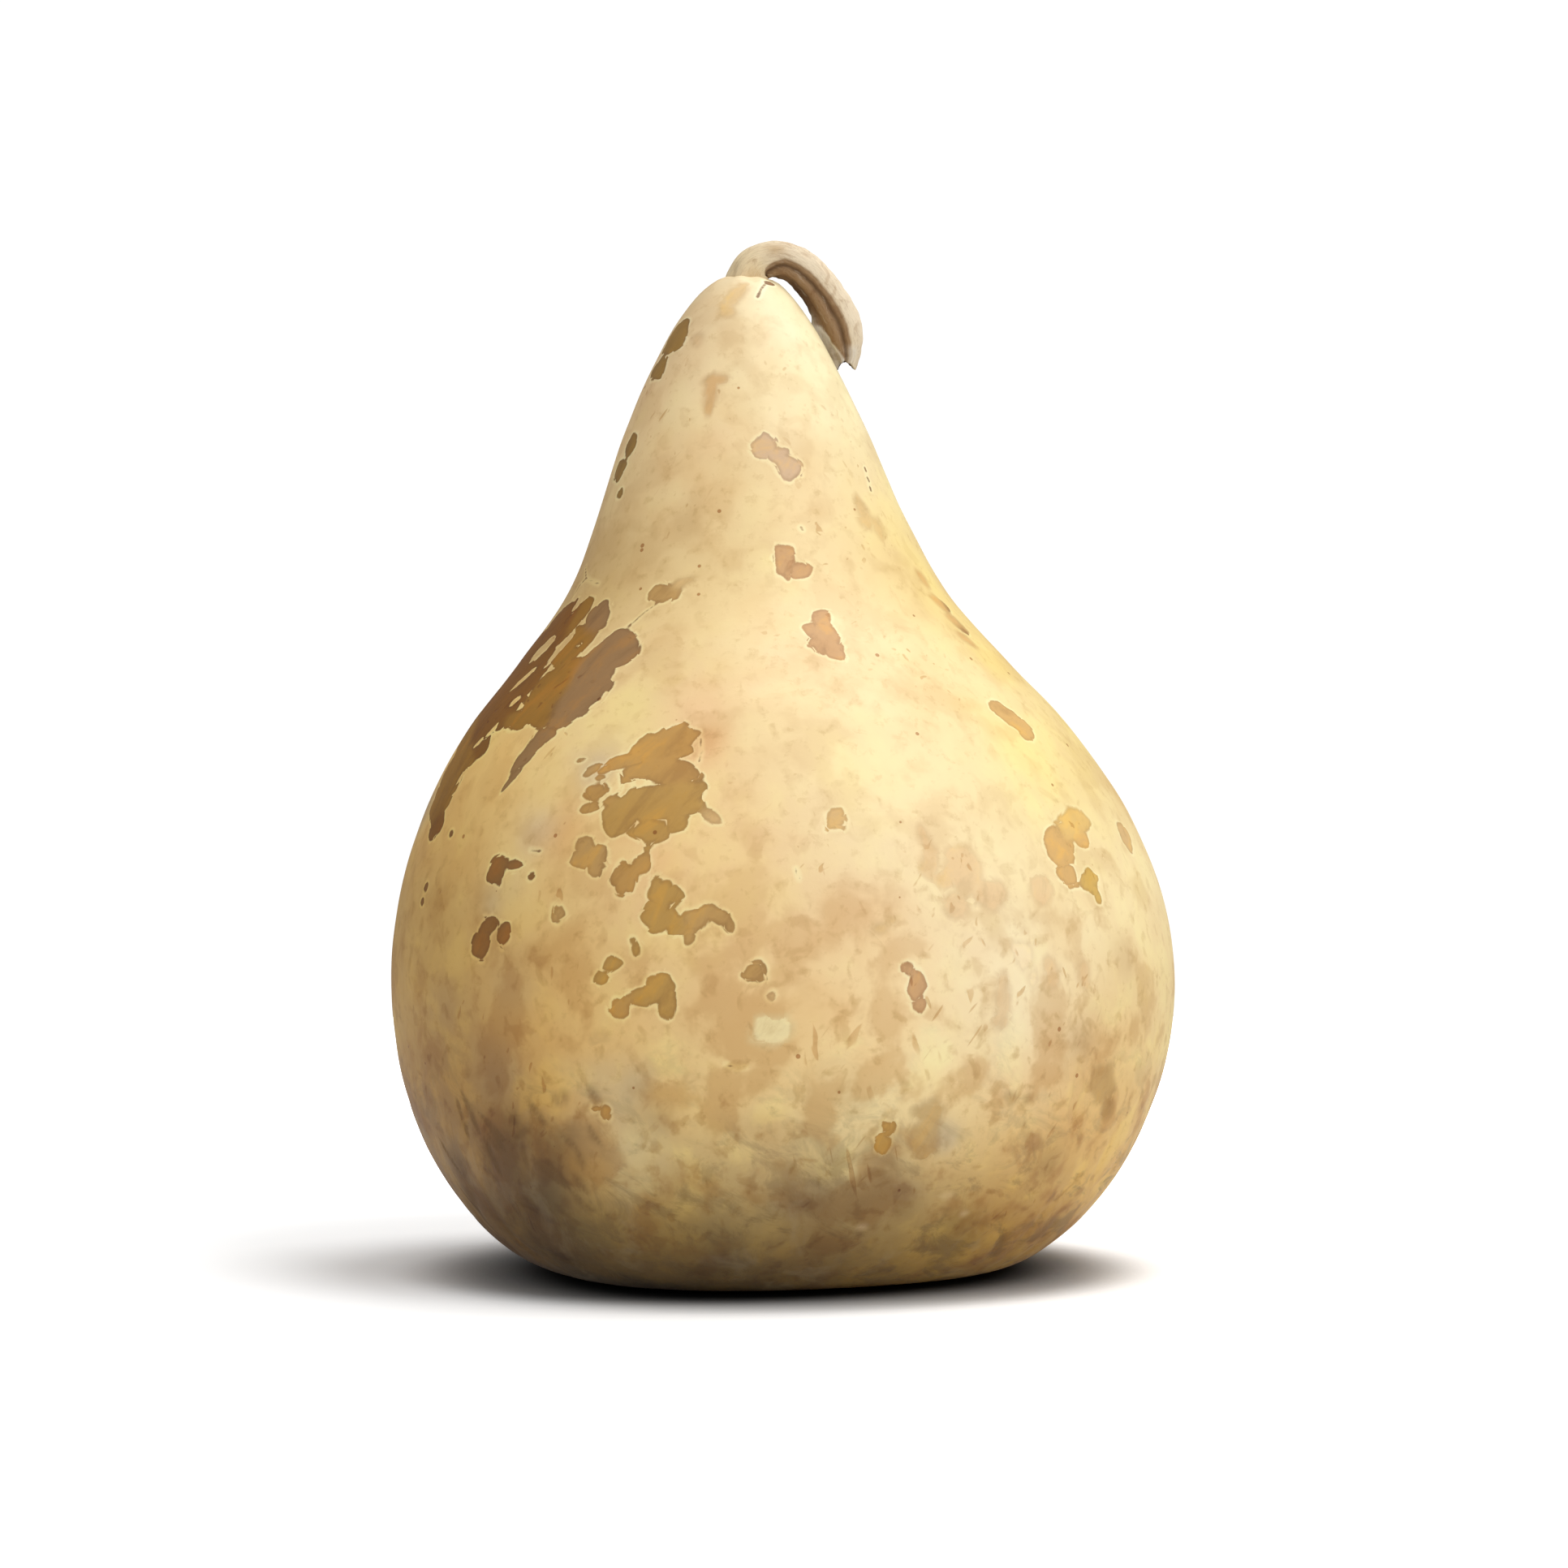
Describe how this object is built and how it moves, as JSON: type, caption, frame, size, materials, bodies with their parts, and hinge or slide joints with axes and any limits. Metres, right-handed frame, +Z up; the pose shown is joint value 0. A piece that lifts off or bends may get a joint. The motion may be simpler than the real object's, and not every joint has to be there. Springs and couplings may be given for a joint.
{
  "type": "dried gourd",
  "caption": "Dried pear-shaped bottle gourd with a hard mottled rind, a tapering neck and a hooked dry stem; a natural decoration that stands on its flat spot.",
  "frame": {"origin": "middle of the flat spot under the fruit, where it rests on a surface", "axes": "+Z up through the neck to the crown, +X to the side the stem hooks over, -Y to the front"},
  "size_m": [0.1809, 0.1773, 0.2366],
  "materials": {
    "rind": "hard dry rind, cream to tan with brown mould patches, dull satin",
    "stem": "dry fibrous stem, pale ridges and brown hollows, matt"
  },
  "bodies": {
    "root": {"gourd_fruit": "rind", "stem": "stem"}
  },
  "joints": []
}
